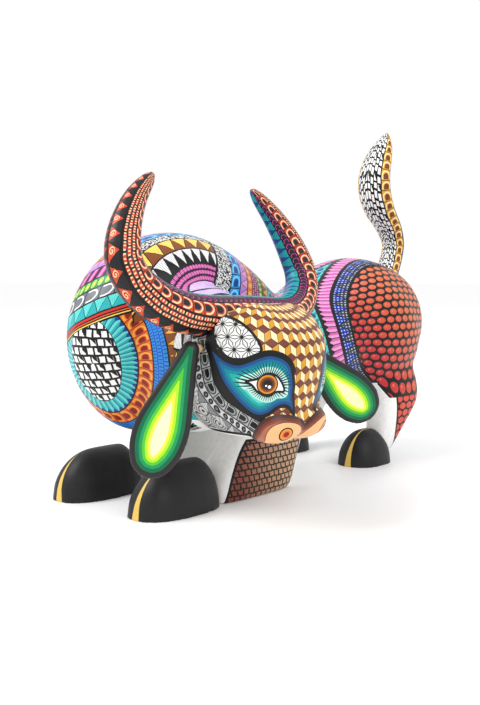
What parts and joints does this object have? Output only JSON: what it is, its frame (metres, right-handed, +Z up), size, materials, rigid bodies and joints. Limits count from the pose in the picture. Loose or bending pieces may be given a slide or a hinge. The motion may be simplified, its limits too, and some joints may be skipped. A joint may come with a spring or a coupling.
{
  "type": "carved wooden bull figure",
  "caption": "Carved and painted wooden bull that bows on its forelegs, with crescent horns, leaf ears and an S-shaped tail that pull off their dowels.",
  "frame": {"origin": "on the floor, under the middle of the whole figure's box", "axes": "+Z up, the bull's chest faces -Y and its rump +Y, its left side is +X, and its head is turned to face +X"},
  "size_m": [0.163, 0.3342, 0.2276],
  "materials": {
    "trunk_paint": "acrylic paint in fine bands on sanded wood, satin varnish",
    "head_paint": "acrylic paint in small cubes and leaves, satin varnish",
    "horn_paint": "acrylic paint in rows along the horn, satin varnish",
    "ear_paint": "acrylic paint in nested leaf bands, satin varnish",
    "tail_paint": "acrylic paint in small facets and a chain, satin varnish",
    "foreleg_paint": "acrylic paint, white with a brown mosaic panel, satin varnish",
    "hindleg_paint": "acrylic paint, white with a red strip, satin varnish",
    "hoof_paint": "black acrylic paint with a gold stripe, satin varnish",
    "bare_wood": "turned hardwood dowel, unpainted"
  },
  "bodies": {
    "block": {"trunk": "trunk_paint", "head": "head_paint", "neck_dowel": "bare_wood", "front_right_leg": "foreleg_paint", "front_left_leg": "foreleg_paint", "rear_right_leg": "hindleg_paint", "rear_left_leg": "hindleg_paint", "leg_dowels": "bare_wood", "front_right_hoof": "hoof_paint", "front_left_hoof": "hoof_paint", "rear_right_hoof": "hoof_paint", "rear_left_hoof": "hoof_paint", "hoof_dowels": "bare_wood"},
    "horns": {"horns": "horn_paint", "horn_dowels": "bare_wood"},
    "right_ear_peg": {"right_ear_peg": "bare_wood"},
    "right_ear": {"right_ear": "ear_paint"},
    "left_ear_peg": {"left_ear_peg": "bare_wood"},
    "left_ear": {"left_ear": "ear_paint"},
    "tail_peg": {"tail_peg": "bare_wood"},
    "tail": {"tail": "tail_paint"}
  },
  "joints": [
    {"name": "horns_lift", "type": "slide", "parent": "block", "child": "horns", "axis": [0, 0, 1], "range_m": [0, 0.025]},
    {"name": "right_ear_pull", "type": "slide", "parent": "block", "child": "right_ear_peg", "axis": [0, -1, 0], "range_m": [0, 0.02]},
    {"name": "right_ear_twist", "type": "hinge", "parent": "right_ear_peg", "child": "right_ear", "pos_m": [0.0415, -0.1296, 0.091], "axis": [0, -1, 0], "range_deg": [-15, 15]},
    {"name": "left_ear_pull", "type": "slide", "parent": "block", "child": "left_ear_peg", "axis": [0, 1, 0], "range_m": [0, 0.02]},
    {"name": "left_ear_twist", "type": "hinge", "parent": "left_ear_peg", "child": "left_ear", "pos_m": [0.0475, -0.0508, 0.087], "axis": [0, 1, 0], "range_deg": [-15, 15]},
    {"name": "tail_pull", "type": "slide", "parent": "block", "child": "tail_peg", "axis": [0, 0.3907, 0.9205], "range_m": [0, 0.025]},
    {"name": "tail_twist", "type": "hinge", "parent": "tail_peg", "child": "tail", "pos_m": [-0.0315, 0.1507, 0.121], "axis": [0, 0.3907, 0.9205], "range_deg": [-25, 25]}
  ]
}
